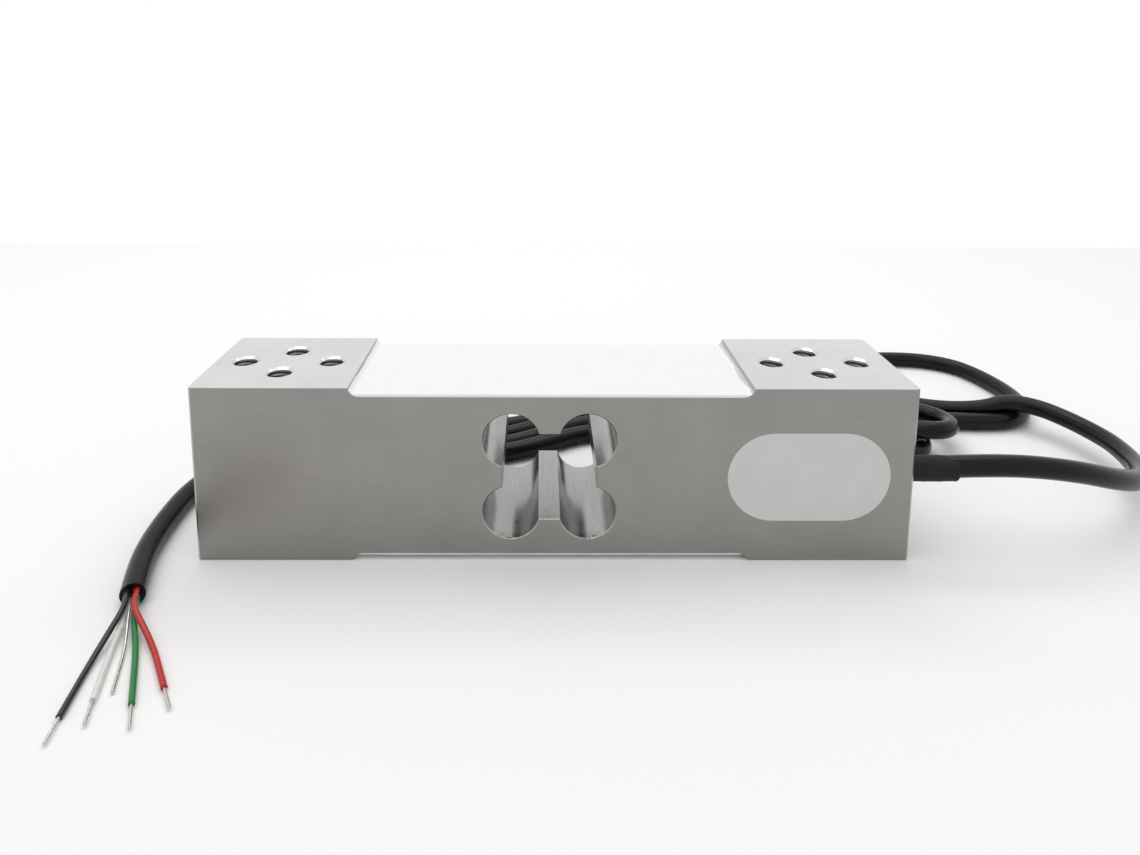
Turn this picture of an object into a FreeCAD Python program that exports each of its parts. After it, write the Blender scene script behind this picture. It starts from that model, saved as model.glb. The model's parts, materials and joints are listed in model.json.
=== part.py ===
import FreeCAD, Part
import math
import os
import Sketcher

# Single point load cell: an aluminium beam with a butterfly window, gauged webs under silicone,
# a potted pocket and a free cable. Millimetres, +Z up, +X towards the cable exit, origin at the
# middle of the underside.

Vector = FreeCAD.Vector
Rotation = FreeCAD.Rotation

SIZES = [
    ("BeamLength", 150.0, "beam, end to end"),
    ("BeamWidth", 30.0, "beam, front to back"),
    ("BeamHeight", 38.0, "beam, underside to top"),
    ("CornerChamfer", 0.5, "upright corners of the beam"),
    ("RecessLeft", 42.5, "recess edge, left of the middle"),
    ("RecessRight", 41.0, "recess edge, right of the middle"),
    ("TopRecessDepth", 1.9, "gauge recess in the top"),
    ("BottomRecessDepth", 1.5, "gauge recess in the underside"),
    ("RampRadius", 2.5, "cutter radius at the recess ends"),
    ("WindowX", -1.1, "window centre along the beam"),
    ("WindowZ", 18.65, "window centre above the underside"),
    ("WindowHalfWidth", 9.8, "straight side walls of the window"),
    ("WindowHalfHeight", 9.35, "tab ends of the window"),
    ("BoreRadius", 5.9, "the four flexure bores"),
    ("BoreOffsetX", 8.0, "bore centre from the window centre"),
    ("BoreOffsetZ", 7.9, "bore centre from the window centre"),
    ("WindowDeburr", 0.2, "chamfer round the window"),
    ("HoleDrill", 5.0, "core diameter of the M6 holes"),
    ("HoleMouth", 6.0, "countersink of the M6 holes"),
    ("HoleSink", 90.0, "countersink angle"),
    ("LeftPadX", -59.0, "centre of the left hole pattern"),
    ("PadSpacing", 117.0, "left to right hole pattern"),
    ("HoleOffsetX", 9.525, "hole from the pattern centre, along the beam"),
    ("HoleOffsetY", 6.35, "hole from the pattern centre, across the beam"),
    ("PocketX", 53.0, "pocket centre along the beam"),
    ("PocketLength", 34.0, "pocket, round end to round end"),
    ("PocketHeight", 19.4, "pocket, bottom to top"),
    ("PocketDepth", 4.5, "pocket, in from the front face"),
    ("ExitOverlap", 5.8, "exit bore, on past the pocket's end"),
    ("ExitY", -11.0, "cable centre at the exit"),
    ("SleeveLength", 14.5, "sleeve, half in and half out of the beam"),
    ("SleeveStart", 71.0, "inner end of the sleeve"),
    ("SleeveDiameter", 5.5, "sleeve and its bore"),
    ("SleeveBevel", 0.3, "bevelled outer end of the sleeve"),
    ("PassageX", 36.6, "lead passage along the beam"),
    ("PassageY", -11.5, "lead passage across the beam"),
    ("PassageDiameter", 2.0, "lead passage"),
    ("CoatThickness", 0.65, "silicone over the gauges"),
    ("CoatInset", 0.1, "silicone back from the beam's sides"),
    ("CoatRound", 0.4, "rounded long edges of the silicone"),
    ("GaugeLength", 10.0, "strain gauge along the beam"),
    ("GaugeWidth", 7.0, "strain gauge across the beam"),
    ("GaugeThickness", 0.12, "strain gauge with its backing"),
    ("TerminalX", 20.0, "near end of the terminal strip"),
    ("TerminalLength", 5.0, "terminal strip along the beam"),
    ("TerminalWidth", 8.0, "terminal strip across the beam"),
    ("TerminalThickness", 0.3, "terminal strip"),
    ("LeadThickness", 0.3, "ribbon of gauge leads"),
    ("LeadWidth", 1.4, "ribbon of gauge leads"),
    ("LeadRise", 1.9, "ribbon above or below the pocket's middle"),
    ("BoardX", 40.0, "left end of the compensation board"),
    ("BoardLength", 22.0, "compensation board along the beam"),
    ("BoardHeight", 12.0, "compensation board, bottom to top"),
    ("BoardThickness", 1.0, "compensation board"),
    ("ResistorLength", 3.2, "trim resistor"),
    ("ResistorHeight", 1.6, "trim resistor"),
    ("ResistorThickness", 0.6, "trim resistor"),
    ("ResistorInset", 2.0, "trim resistor, left of the board's middle"),
    ("ResistorPitch", 3.4, "from one trim resistor to the next"),
    ("LeadOnBoard", 3.0, "gauge leads, length on the board"),
    ("LeadOnTerminals", 2.0, "gauge leads, length along the terminals"),
    ("CableDiameter", 4.7, "cable jacket"),
    ("CoreDiameter", 1.1, "insulated core"),
    ("PocketCore", 0.9, "core inside the pocket"),
    ("PocketCoreSpread", 1.7, "between two cores inside the pocket"),
    ("TipDiameter", 0.55, "tinned strands and drain wire"),
    ("TipLength", 5.0, "tinned end of a core"),
    ("HankLeft", -64.0, "left end of the hank"),
    ("HankRight", 153.0, "right end of the hank"),
    ("HankFront", 22.0, "near side of the hank"),
    ("HankBack", 98.0, "far side of the hank"),
    ("HankHeight", 10.4, "the cable lies two deep"),
    ("HankGapFront", 58.0, "near side of the gap inside the hank"),
    ("HankGapBack", 76.0, "far side of the gap inside the hank"),
    ("HankGapLeft", -30.0, "left end of the gap"),
    ("HankGapRight", 112.0, "right end of the gap"),
    ("TieX", 48.0, "near edge of the tie along the beam"),
    ("TieWidth", 3.6, "tie strap width"),
    ("TieStrap", 1.1, "tie strap thickness"),
    ("TieFront", 28.0, "near side of the tied bundle"),
    ("BundleWidth", 16.4, "tied bundle, side to side"),
    ("BundleHeight", 9.0, "tied bundle, bottom to top"),
    ("TieHeadLength", 5.2, "tie head, front to back"),
    ("TieHeadHeight", 3.0, "tie head"),
    ("TieHeadSetback", 8.0, "tie head's front, from the bundle's back"),
    ("TieHeadLift", 0.4, "tie head's underside, above the strap's inner face"),
    ("BundleRound", 2.0, "corners of the tied bundle"),
]

# Free cable from its inner end in the pocket, out through the sleeve and round to the hank.
LEAD_ROUTE = [
    (67.0, -11.0, 18.65), (77.0, -11.0, 18.65), (88.0, -11.0, 19.2), (100.0, -11.3, 19.4),
    (112.5, -10.4, 17.6), (124.5, -6.8, 13.6), (134.8, 0.0, 9.8), (142.0, 10.0, 7.8),
    (145.4, 22.0, 7.2), (144.8, 30.5, 7.1), (142.6, 38.5, 7.2),
]

# Free cable from the hank, round the beam's left end and forward to its stripped end.
TAIL_ROUTE = [
    (-33.0, 26.2, 2.4), (-43.0, 27.0, 2.4), (-54.0, 28.2, 2.4), (-65.0, 28.4, 2.4),
    (-72.8, 26.2, 2.4), (-79.7, 21.6, 2.4), (-84.4, 14.7, 2.4), (-86.6, 6.6, 2.4),
    (-86.7, -2.6, 2.4), (-86.0, -12.0, 2.4), (-84.2, -21.0, 2.4), (-81.2, -29.4, 2.4),
]

doc = FreeCAD.newDocument("LoadCell")
sheet = doc.addObject("Spreadsheet::Sheet", "Sizes")
for row, (alias, value, note) in enumerate(SIZES, 1):
    sheet.set(f"A{row}", note)
    sheet.set(f"B{row}", str(value))
    sheet.setAlias(f"B{row}", alias)
doc.recompute()

pieces = []


def size(alias):
    """The value of one cell of the sheet."""
    return float(sheet.get(alias))


def name_piece(item, label):
    """Give a finished sub-part its label and put it on the list of exported pieces."""
    item.Label = label
    pieces.append(item)
    return item


def bind(item, **bindings):
    """Bind properties to expressions; Base_x and its like mean the placement's position."""
    for key, expression in bindings.items():
        path = key.replace("Base_", "Placement.Base.")
        item.setExpression(path, expression)
    return item


# ---------------------------------------------------------------- PartDesign helpers

def add_body(label):
    """A new body that will be exported under its label."""
    return name_piece(doc.addObject("PartDesign::Body", label + "_body"), label)


def add_sketch(body, name, role, offset=None):
    """A sketch on one of the body's origin planes, moved along its normal by an expression."""
    sketch = body.newObject("Sketcher::SketchObject", name)
    origin_plane = next(item for item in body.Origin.OriginFeatures if item.Role == role)
    sketch.AttachmentSupport = [(origin_plane, "")]
    sketch.MapMode = "FlatFace"
    if offset:
        sketch.setExpression("AttachmentOffset.Base.z", offset)
    return sketch


def place_point(sketch, geometry, end, across, up):
    """Fix a point of the sketch by two expressions measured from the sketch's origin."""
    for kind, expression in (("DistanceX", across), ("DistanceY", up)):
        if expression is None:
            continue
        distance = evaluate(expression)
        index = sketch.addConstraint(Sketcher.Constraint(kind, -1, 1, geometry, end, distance))
        sketch.setExpression(f"Constraints[{index}]", expression)


def add_circles(sketch, centres, diameter):
    """Equal circles at centres given as pairs of expressions."""
    for number, (across, up) in enumerate(centres):
        start = Vector(evaluate(across), evaluate(up), 0)
        sketch.addGeometry(Part.Circle(start, Vector(0, 0, 1), evaluate(diameter) / 2))
        place_point(sketch, number, 3, across, up)
        if number == 0:
            index = sketch.addConstraint(Sketcher.Constraint("Diameter", 0, evaluate(diameter)))
            sketch.setExpression(f"Constraints[{index}]", diameter)
        else:
            sketch.addConstraint(Sketcher.Constraint("Equal", 0, number))


def evaluate(expression):
    """An expression's value now, so that a sketch starts near its solved shape."""
    return float(sheet.evalExpression(expression.replace("Sizes.", "")))


def add_rectangle(sketch, left, bottom, right, top):
    """A rectangle between four expressions."""
    low = Vector(evaluate(left), evaluate(bottom), 0)
    high = Vector(evaluate(right), evaluate(top), 0)
    corners = [low, Vector(high.x, low.y, 0), high, Vector(low.x, high.y, 0)]
    first = sketch.GeometryCount
    for number in range(4):
        sketch.addGeometry(Part.LineSegment(corners[number], corners[(number + 1) % 4]))
    for number in range(4):
        following = first + (number + 1) % 4
        sketch.addConstraint(Sketcher.Constraint("Coincident", first + number, 2, following, 1))
        direction = "Horizontal" if number % 2 == 0 else "Vertical"
        sketch.addConstraint(Sketcher.Constraint(direction, first + number))
    place_point(sketch, first, 1, left, bottom)
    place_point(sketch, first + 2, 1, right, top)


def add_slot(sketch, left, bottom, right, top):
    """A slot with round ends, longer across than up, between four expressions."""
    x_low, x_high = evaluate(left), evaluate(right)
    y_low, y_high = evaluate(bottom), evaluate(top)
    radius = (y_high - y_low) / 2
    middle = (y_high + y_low) / 2
    first = sketch.GeometryCount
    left_centre = Vector(x_low + radius, middle, 0)
    right_centre = Vector(x_high - radius, middle, 0)
    quarter = math.pi / 2
    circle_left = Part.Circle(left_centre, Vector(0, 0, 1), radius)
    circle_right = Part.Circle(right_centre, Vector(0, 0, 1), radius)
    sketch.addGeometry(Part.LineSegment(Vector(x_low + radius, y_low, 0), Vector(x_high - radius, y_low, 0)))
    sketch.addGeometry(Part.ArcOfCircle(circle_right, -quarter, quarter))
    sketch.addGeometry(Part.LineSegment(Vector(x_high - radius, y_high, 0), Vector(x_low + radius, y_high, 0)))
    sketch.addGeometry(Part.ArcOfCircle(circle_left, quarter, 3 * quarter))
    for number in range(4):
        following = first + (number + 1) % 4
        sketch.addConstraint(Sketcher.Constraint("Tangent", first + number, 2, following, 1))
    sketch.addConstraint(Sketcher.Constraint("Horizontal", first))
    sketch.addConstraint(Sketcher.Constraint("Horizontal", first + 2))
    place_point(sketch, first, 1, f"{left} + ({top} - ({bottom})) / 2", bottom)
    place_point(sketch, first + 2, 1, f"{right} - ({top} - ({bottom})) / 2", top)


def add_pad(body, sketch, length, symmetric=False, reverse=False):
    """Pad a sketch by an expression."""
    pad = body.newObject("PartDesign::Pad", sketch.Name + "_pad")
    pad.Profile = sketch
    pad.Midplane = symmetric
    pad.Reversed = reverse
    pad.setExpression("Length", length)
    doc.recompute()
    return pad


def add_pocket(body, sketch, length=None):
    """Pocket a sketch by an expression, or right through both ways."""
    before = body.Shape.Volume
    pocket = body.newObject("PartDesign::Pocket", sketch.Name + "_pocket")
    pocket.Profile = sketch
    if length:
        pocket.setExpression("Length", length)
    else:
        pocket.Type = "ThroughAll"
        pocket.Midplane = True
    doc.recompute()
    if body.Shape.Volume > before - 0.01:
        raise RuntimeError(f"{pocket.Name} cuts nothing")
    return pocket


def add_edge_feature(body, kind, name, wanted, amount_property, amount):
    """Chamfer or fillet the body's edges that the test called wanted picks."""
    base = body.Tip
    names = [f"Edge{number}" for number, edge in enumerate(base.Shape.Edges, 1) if wanted(edge)]
    feature = body.newObject(kind, name)
    feature.Base = (base, names)
    feature.setExpression(amount_property, amount)
    doc.recompute()
    return feature


def runs_along(edge, axis):
    """Whether an edge is straight and parallel to an axis, given as a unit vector."""
    if edge.Curve.TypeId != "Part::GeomLine":
        return False
    return abs(abs(edge.tangentAt(edge.FirstParameter).dot(axis)) - 1) < 1e-6


# ---------------------------------------------------------------- the beam

def draw_recessed_side(sketch):
    """The beam's side view: a long block with a shallow recess above and below, whose ends are
    the quarter-like ramps left by the cutter's radius."""
    half = size("BeamLength") / 2
    height = size("BeamHeight")
    left = size("RecessLeft")
    right = size("RecessRight")
    radius = size("RampRadius")
    low = size("BottomRecessDepth")
    high = size("TopRecessDepth")
    low_run = math.sqrt(radius ** 2 - (radius - low) ** 2)
    high_run = math.sqrt(radius ** 2 - (radius - high) ** 2)

    def line(x1, z1, x2, z2):
        sketch.addGeometry(Part.LineSegment(Vector(x1, z1, 0), Vector(x2, z2, 0)))

    def ramp(centre_x, centre_z, x1, z1, x2, z2):
        """The short arc about a centre from one point to another, counter-clockwise."""
        circle = Part.Circle(Vector(centre_x, centre_z, 0), Vector(0, 0, 1), radius)
        start = math.atan2(z1 - centre_z, x1 - centre_x)
        stop = math.atan2(z2 - centre_z, x2 - centre_x)
        sketch.addGeometry(Part.ArcOfCircle(circle, start, stop))

    low_centre = low - radius
    high_centre = height - high + radius
    line(-half, 0, -left, 0)
    ramp(-left + low_run, low_centre, -left + low_run, low, -left, 0)
    line(-left + low_run, low, right - low_run, low)
    ramp(right - low_run, low_centre, right, 0, right - low_run, low)
    line(right, 0, half, 0)
    line(half, 0, half, height)
    line(half, height, right, height)
    ramp(right - high_run, high_centre, right - high_run, height - high, right, height)
    line(right - high_run, height - high, -left + high_run, height - high)
    ramp(-left + high_run, high_centre, -left, height, -left + high_run, height - high)
    line(-left, height, -half, height)
    line(-half, height, -half, 0)

    def join(first, first_end, second, second_end, kind="Coincident"):
        sketch.addConstraint(Sketcher.Constraint(kind, first, first_end, second, second_end))

    # An arc runs counter-clockwise, so ramps 1 and 3 meet their neighbours end for end reversed.
    join(0, 2, 1, 2)
    join(1, 1, 2, 1, "Tangent")
    join(2, 2, 3, 2, "Tangent")
    join(3, 1, 4, 1)
    join(4, 2, 5, 1)
    join(5, 2, 6, 1)
    join(6, 2, 7, 2)
    join(7, 1, 8, 1, "Tangent")
    join(8, 2, 9, 2, "Tangent")
    join(9, 1, 10, 1)
    join(10, 2, 11, 1)
    join(11, 2, 0, 1)
    for number in (0, 2, 4, 6, 8, 10):
        sketch.addConstraint(Sketcher.Constraint("Horizontal", number))
    for number in (5, 11):
        sketch.addConstraint(Sketcher.Constraint("Vertical", number))
    index = sketch.addConstraint(Sketcher.Constraint("Radius", 1, radius))
    sketch.setExpression(f"Constraints[{index}]", "Sizes.RampRadius")
    for number in (3, 7, 9):
        sketch.addConstraint(Sketcher.Constraint("Equal", 1, number))
    place_point(sketch, 0, 1, "-Sizes.BeamLength / 2", "0")
    place_point(sketch, 0, 2, "-Sizes.RecessLeft", None)
    place_point(sketch, 2, 1, None, "Sizes.BottomRecessDepth")
    place_point(sketch, 4, 1, "Sizes.RecessRight", "0")
    place_point(sketch, 5, 2, "Sizes.BeamLength / 2", "Sizes.BeamHeight")
    place_point(sketch, 6, 2, "Sizes.RecessRight", None)
    place_point(sketch, 8, 1, None, "Sizes.BeamHeight - Sizes.TopRecessDepth")
    place_point(sketch, 10, 1, "-Sizes.RecessLeft", "Sizes.BeamHeight")


def add_mounting_holes(body, name, offset, reverse):
    """Four through holes in a diamond on the left pad, countersunk at the mouth."""
    sketch = add_sketch(body, name, "XY_Plane", offset)
    centres = []
    for step_x, step_y in ((-1, 0), (1, 0), (0, -1), (0, 1)):
        across = f"Sizes.LeftPadX + {step_x} * Sizes.HoleOffsetX"
        up = f"{step_y} * Sizes.HoleOffsetY"
        centres.append((across, up))
    add_circles(sketch, centres, "Sizes.HoleDrill")
    doc.recompute()
    hole = body.newObject("PartDesign::Hole", name + "_drilled")
    hole.Profile = sketch
    hole.Reversed = reverse
    hole.ThreadType = "None"
    hole.DepthType = "ThroughAll"
    hole.HoleCutType = "Countersink"
    hole.HoleCutCustomValues = True
    hole.setExpression("Diameter", "Sizes.HoleDrill")
    hole.setExpression("HoleCutDiameter", "Sizes.HoleMouth")
    hole.setExpression("HoleCutCountersinkAngle", "Sizes.HoleSink")
    before = body.Shape.Volume
    doc.recompute()
    print(f"{name}: takes {before - body.Shape.Volume:.1f} cubic mm")
    return hole


def make_spring_element():
    """The machined beam: recessed top and bottom, butterfly window, pocket, holes."""
    body = add_body("spring_element")
    side = add_sketch(body, "side_view", "XZ_Plane")
    draw_recessed_side(side)
    add_pad(body, side, "Sizes.BeamWidth", symmetric=True)
    add_edge_feature(body, "PartDesign::Chamfer", "upright_corners",
                     lambda edge: runs_along(edge, Vector(0, 0, 1)) and edge.Length > 20,
                     "Size", "Sizes.CornerChamfer")

    window = add_sketch(body, "window", "XZ_Plane")
    add_rectangle(window, "Sizes.WindowX - Sizes.WindowHalfWidth", "Sizes.WindowZ - Sizes.WindowHalfHeight",
                  "Sizes.WindowX + Sizes.WindowHalfWidth", "Sizes.WindowZ + Sizes.WindowHalfHeight")
    add_pocket(body, window)
    bores = add_sketch(body, "flexure_bores", "XZ_Plane")
    centres = []
    for step_x in (-1, 1):
        for step_z in (-1, 1):
            across = f"Sizes.WindowX + {step_x} * Sizes.BoreOffsetX"
            up = f"Sizes.WindowZ + {step_z} * Sizes.BoreOffsetZ"
            centres.append((across, up))
    add_circles(bores, centres, "2 * Sizes.BoreRadius")
    add_pocket(body, bores)

    half_width = size("BeamWidth") / 2
    reach = size("BoreOffsetX") + size("BoreRadius") + 1

    def rims_window(edge):
        box = edge.BoundBox
        on_face = box.YLength < 1e-6 and abs(abs(box.YMin) - half_width) < 1e-6
        return on_face and abs(box.Center.x - size("WindowX")) < reach and 1.6 < box.ZMin and box.ZMax < 36

    add_edge_feature(body, "PartDesign::Chamfer", "window_deburr", rims_window, "Size", "Sizes.WindowDeburr")

    pocket = add_sketch(body, "side_pocket", "XZ_Plane", "Sizes.BeamWidth / 2")
    add_slot(pocket, "Sizes.PocketX - Sizes.PocketLength / 2", "Sizes.WindowZ - Sizes.PocketHeight / 2",
             "Sizes.PocketX + Sizes.PocketLength / 2", "Sizes.WindowZ + Sizes.PocketHeight / 2")
    add_pocket(body, pocket, "Sizes.PocketDepth")
    exit_bore = add_sketch(body, "exit_bore", "YZ_Plane", "Sizes.BeamLength / 2")
    add_circles(exit_bore, [("Sizes.ExitY", "Sizes.WindowZ")], "Sizes.SleeveDiameter")
    add_pocket(body, exit_bore,
               "Sizes.BeamLength / 2 - Sizes.PocketX - Sizes.PocketLength / 2 + Sizes.ExitOverlap")
    passage = add_sketch(body, "lead_passage", "XY_Plane")
    add_circles(passage, [("Sizes.PassageX", "Sizes.PassageY")], "Sizes.PassageDiameter")
    add_pocket(body, passage)

    top_holes = add_mounting_holes(body, "top_holes", "Sizes.BeamHeight", False)
    bottom_holes = add_mounting_holes(body, "bottom_holes", None, True)
    pattern = body.newObject("PartDesign::LinearPattern", "holes_on_both_pads")
    pattern.Originals = [top_holes, bottom_holes]
    x_axis = next(item for item in body.Origin.OriginFeatures if item.Role == "X_Axis")
    pattern.Direction = (x_axis, [""])
    pattern.Occurrences = 2
    pattern.setExpression("Length", "Sizes.PadSpacing")
    body.Tip = pattern
    doc.recompute()
    return body


# ---------------------------------------------------------------- silicone, gauges and their leads

def make_coat(label, top, contents):
    """A silicone coat in one recess: it fills the recess floor, runs a little way up the ramps at
    its ends, has rounded long edges, and is moulded round what lies under it."""
    body = doc.addObject("PartDesign::Body", label + "_layer")
    sketch = add_sketch(body, label + "_section", "XZ_Plane")
    radius = size("RampRadius")
    depth = size("TopRecessDepth") if top else size("BottomRecessDepth")
    floor = size("BeamHeight") - depth if top else depth
    up = 1 if top else -1
    thick = size("CoatThickness")
    run = math.sqrt(radius ** 2 - (radius - depth) ** 2)
    climb = math.sqrt(radius ** 2 - (radius - thick) ** 2)
    left = -size("RecessLeft") + run
    right = size("RecessRight") - run

    def point(x, rise):
        return Vector(x, floor + up * rise, 0)

    def ramp_point(x, side):
        """Half way along the ramp's arc between the floor and the coat's surface."""
        lift = radius - math.sqrt(radius ** 2 - (climb / 2) ** 2)
        return point(x + side * climb / 2, lift)

    sketch.addGeometry(Part.LineSegment(point(left, 0), point(right, 0)))
    sketch.addGeometry(Part.Arc(point(right, 0), ramp_point(right, 1), point(right + climb, thick)))
    sketch.addGeometry(Part.LineSegment(point(right + climb, thick), point(left - climb, thick)))
    sketch.addGeometry(Part.Arc(point(left - climb, thick), ramp_point(left, -1), point(left, 0)))
    pad = add_pad(body, sketch, "Sizes.BeamWidth - 2 * Sizes.CoatInset", symmetric=True)
    surface = floor + up * thick
    x_direction = Vector(1, 0, 0)
    add_edge_feature(body, "PartDesign::Fillet", label + "_edges",
                     lambda edge: runs_along(edge, x_direction) and abs(edge.BoundBox.ZMin - surface) < 1e-4,
                     "Radius", "Sizes.CoatRound")
    coat = doc.addObject("Part::Cut", label + "_cut")
    coat.Base = body
    coat.Tool = join_shapes(label + "_moulded_over", contents)
    doc.recompute()
    return name_piece(coat, label)


def join_shapes(name, items):
    """One fused tool from several objects."""
    joined = doc.addObject("Part::MultiFuse", name)
    joined.Shapes = items
    return joined


def add_box(name, length, width, height, corner_x, corner_y, corner_z):
    """A box bound to expressions for its size and its low corner."""
    box = doc.addObject("Part::Box", name)
    return bind(box, Length=length, Width=width, Height=height,
                Base_x=corner_x, Base_y=corner_y, Base_z=corner_z)


def make_gauges_and_terminals(where, bottom_of):
    """Two foil gauges over the bores and a terminal strip, on one recess floor.
    bottom_of gives the expression for the lower face of a layer of some thickness."""
    items = []
    for side, step in (("left", -1), ("right", 1)):
        gauge = add_box(f"gauge_{where}_{side}_box", "Sizes.GaugeLength", "Sizes.GaugeWidth",
                        "Sizes.GaugeThickness",
                        f"Sizes.WindowX + {step} * Sizes.BoreOffsetX - Sizes.GaugeLength / 2",
                        "-Sizes.GaugeWidth / 2", bottom_of("Sizes.GaugeThickness"))
        items.append(name_piece(gauge, f"gauge_{where}_{side}"))
    terminals = add_box(f"{where}_terminals_box", "Sizes.TerminalLength", "Sizes.TerminalWidth",
                        "Sizes.TerminalThickness", "Sizes.TerminalX", "-Sizes.TerminalWidth / 2",
                        bottom_of("Sizes.TerminalThickness"))
    items.append(name_piece(terminals, f"{where}_terminals"))
    return items


def make_gauge_leads(where, bottom_of, step):
    """The leads of one side as a ribbon: from the board's face to the passage, along the passage
    and over the recess floor to the terminal strip. step is 1 for the top and -1 for the bottom."""
    on_board = add_box(f"{where}_lead_on_board", "Sizes.BoardX + Sizes.LeadOnBoard - Sizes.PassageX",
                       "Sizes.LeadThickness", "Sizes.LeadWidth", "Sizes.PassageX",
                       "-Sizes.BeamWidth / 2 + Sizes.PocketDepth - Sizes.BoardThickness - Sizes.LeadThickness",
                       f"Sizes.WindowZ + {step} * Sizes.LeadRise - Sizes.LeadWidth / 2")
    upright = doc.addObject("Part::Cylinder", f"{where}_lead_in_passage")
    surface = f"{bottom_of('Sizes.LeadThickness')} + {max(step, 0)} * Sizes.LeadThickness"
    start = f"Sizes.WindowZ + {step} * (Sizes.LeadRise - Sizes.LeadWidth / 2)"
    low, high = (start, surface) if step > 0 else (surface, start)
    bind(upright, Radius="Sizes.LeadWidth / 2", Height=f"{high} - ({low})", Base_x="Sizes.PassageX",
         Base_y="Sizes.PassageY", Base_z=low)
    along = add_box(f"{where}_lead_on_floor",
                    "Sizes.PassageX - Sizes.TerminalX - Sizes.TerminalLength", "Sizes.LeadWidth",
                    "Sizes.LeadThickness", "Sizes.TerminalX + Sizes.TerminalLength",
                    "Sizes.PassageY - Sizes.LeadWidth / 2", bottom_of("Sizes.LeadThickness"))
    across = add_box(f"{where}_lead_to_terminals", "Sizes.LeadWidth",
                     "-Sizes.TerminalWidth / 2 - Sizes.PassageY + Sizes.LeadWidth / 2 + Sizes.LeadOnTerminals",
                     "Sizes.LeadThickness", "Sizes.TerminalX + Sizes.TerminalLength",
                     "Sizes.PassageY - Sizes.LeadWidth / 2", bottom_of("Sizes.LeadThickness"))
    leads = join_shapes(f"{where}_leads_joined", [on_board, upright, along, across])
    doc.recompute()
    return name_piece(leads, f"{where}_gauge_leads")


# ---------------------------------------------------------------- routes and tubes

def route_wire(points):
    """Straight runs joined by tangent arcs, each arc as large as its two runs allow.
    Returns the wire and the smallest arc radius."""
    corners = [Vector(*point) for point in points]
    edges = []
    radii = []
    at = corners[0]
    for before, corner, after in zip(corners, corners[1:], corners[2:]):
        into = (corner - before).normalize()
        away = (after - corner).normalize()
        half_turn = into.getAngle(away) / 2
        trim = 0.45 * min((corner - before).Length, (after - corner).Length)
        radius = trim / math.tan(half_turn)
        start = corner - into * trim
        stop = corner + away * trim
        inward = (away - into).normalize()
        middle = corner + inward * (radius / math.cos(half_turn) - radius)
        edges.append(Part.LineSegment(at, start).toShape())
        edges.append(Part.Arc(start, middle, stop).toShape())
        radii.append(radius)
        at = stop
    edges.append(Part.LineSegment(at, corners[-1]).toShape())
    return Part.Wire(edges), min(radii)


def tube(points, diameter):
    """A solid round tube along a route, compared with its section times its length."""
    wire, tightest = route_wire(points)
    first = wire.Vertexes[0].Point
    heading = (Vector(*points[1]) - Vector(*points[0])).normalize()
    circle = Part.Wire(Part.makeCircle(diameter / 2, first, heading))
    solid = wire.makePipeShell([circle], True, False)
    expected = math.pi * diameter ** 2 / 4 * wire.Length
    print(f"tube: length {wire.Length:.1f}, smallest radius {tightest:.1f}, "
          f"volume {solid.Volume:.2f} against {expected:.2f}")
    return solid


def add_shape(name, shape):
    """A feature that holds a computed shape."""
    item = doc.addObject("Part::Feature", name)
    item.Shape = shape
    item.Placement = FreeCAD.Placement()
    return item


# ---------------------------------------------------------------- pocket contents

def make_board():
    """The compensation board on the pocket's floor, and its trim resistors."""
    board_face = "-Sizes.BeamWidth / 2 + Sizes.PocketDepth - Sizes.BoardThickness"
    board = add_box("board_box", "Sizes.BoardLength", "Sizes.BoardThickness", "Sizes.BoardHeight",
                    "Sizes.BoardX", board_face, "Sizes.WindowZ - Sizes.BoardHeight / 2")
    name_piece(board, "compensation_board")
    resistors = []
    for number in range(3):
        resistor = add_box(f"resistor_{number}", "Sizes.ResistorLength", "Sizes.ResistorThickness",
                           "Sizes.ResistorHeight", "Sizes.BoardX + Sizes.BoardLength / 2 - Sizes.ResistorInset",
                           f"{board_face} - Sizes.ResistorThickness",
                           f"Sizes.WindowZ + {number - 1} * Sizes.ResistorPitch - Sizes.ResistorHeight / 2")
        resistors.append(resistor)
    group = doc.addObject("Part::Compound", "resistor_group")
    group.Links = resistors
    doc.recompute()
    return board, name_piece(group, "trim_resistors")


def make_pocket_cores():
    """The cable's four cores: from the jacket's end they fan out and lie on the board's face."""
    board_face = -size("BeamWidth") / 2 + size("PocketDepth") - size("BoardThickness")
    start_x, start_y, start_z = LEAD_ROUTE[0]
    radius = size("PocketCore") / 2
    spread = size("PocketCoreSpread") / 2
    fan_start = start_x - 1.0
    fan_end = size("BoardX") + size("BoardLength") + 0.5
    solder_gap = 0.1
    cores = []
    for aside, landing_rise in ((-spread, 3 * spread), (spread, spread)):
        for step in (-1, 1):
            start = Vector(start_x, start_y + aside, start_z + step * spread)
            landing = Vector(fan_end, board_face - radius - solder_gap, start_z + step * landing_rise)
            corners = [start, Vector(fan_start, start.y, start.z), landing,
                       Vector(fan_end - 4.0, landing.y, landing.z)]
            circle = Part.Wire(Part.makeCircle(radius, start, Vector(1, 0, 0)))
            mitred_corners = 1
            cores.append(Part.makePolygon(corners).makePipeShell([circle], True, False, mitred_corners))
    return name_piece(add_shape("pocket_core_group", Part.Compound(cores)), "pocket_cores")


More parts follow.
